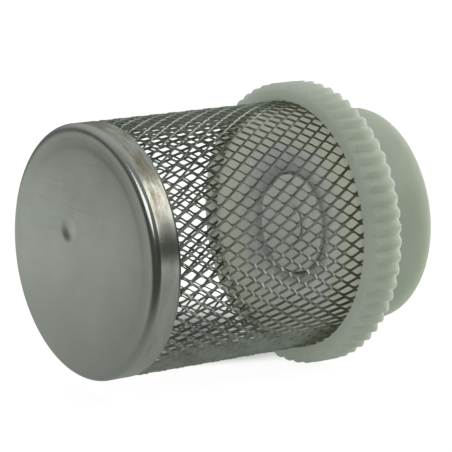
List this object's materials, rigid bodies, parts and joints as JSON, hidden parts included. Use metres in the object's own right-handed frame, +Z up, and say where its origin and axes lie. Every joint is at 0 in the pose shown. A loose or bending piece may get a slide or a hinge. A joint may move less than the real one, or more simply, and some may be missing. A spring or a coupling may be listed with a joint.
{
  "type": "foot valve",
  "caption": "Suction foot valve with an expanded-metal strainer basket, stamped end cap and translucent plastic body with knurled flange and threaded outlet.",
  "frame": {"origin": "centre of the outlet's end face, on the valve's axis", "axes": "+X along the valve's axis, from the strainer's end cap out through the outlet; +Z up as the valve lies in the picture"},
  "size_m": [0.063, 0.0514, 0.0514],
  "materials": {
    "cap_steel": "polished stamped stainless steel, dulled, with brownish heat tint on the skirt",
    "mesh_steel": "expanded stainless sheet with raised, glinting strands",
    "nylon": "milky translucent natural nylon, satin",
    "acetal": "white moulded acetal, satin",
    "seal_rubber": "natural silicone rubber, pale grey and matte",
    "spring_steel": "drawn stainless spring wire"
  },
  "bodies": {
    "housing": {"end_cap": "cap_steel", "strainer_sleeve": "mesh_steel", "valve_body": "nylon", "guide_spider": "acetal", "outlet_washer": "seal_rubber", "poppet_spring": "spring_steel"},
    "poppet": {"poppet": "acetal", "poppet_seal": "seal_rubber", "seal_retainer": "acetal"}
  },
  "joints": [
    {"name": "poppet_lift", "type": "slide", "parent": "housing", "child": "poppet", "axis": [1, 0, 0], "range_m": [0, 0.0034], "stiffness_N_per_m": 200, "springref_m": -0.004, "deforming": ["poppet_spring"]}
  ]
}
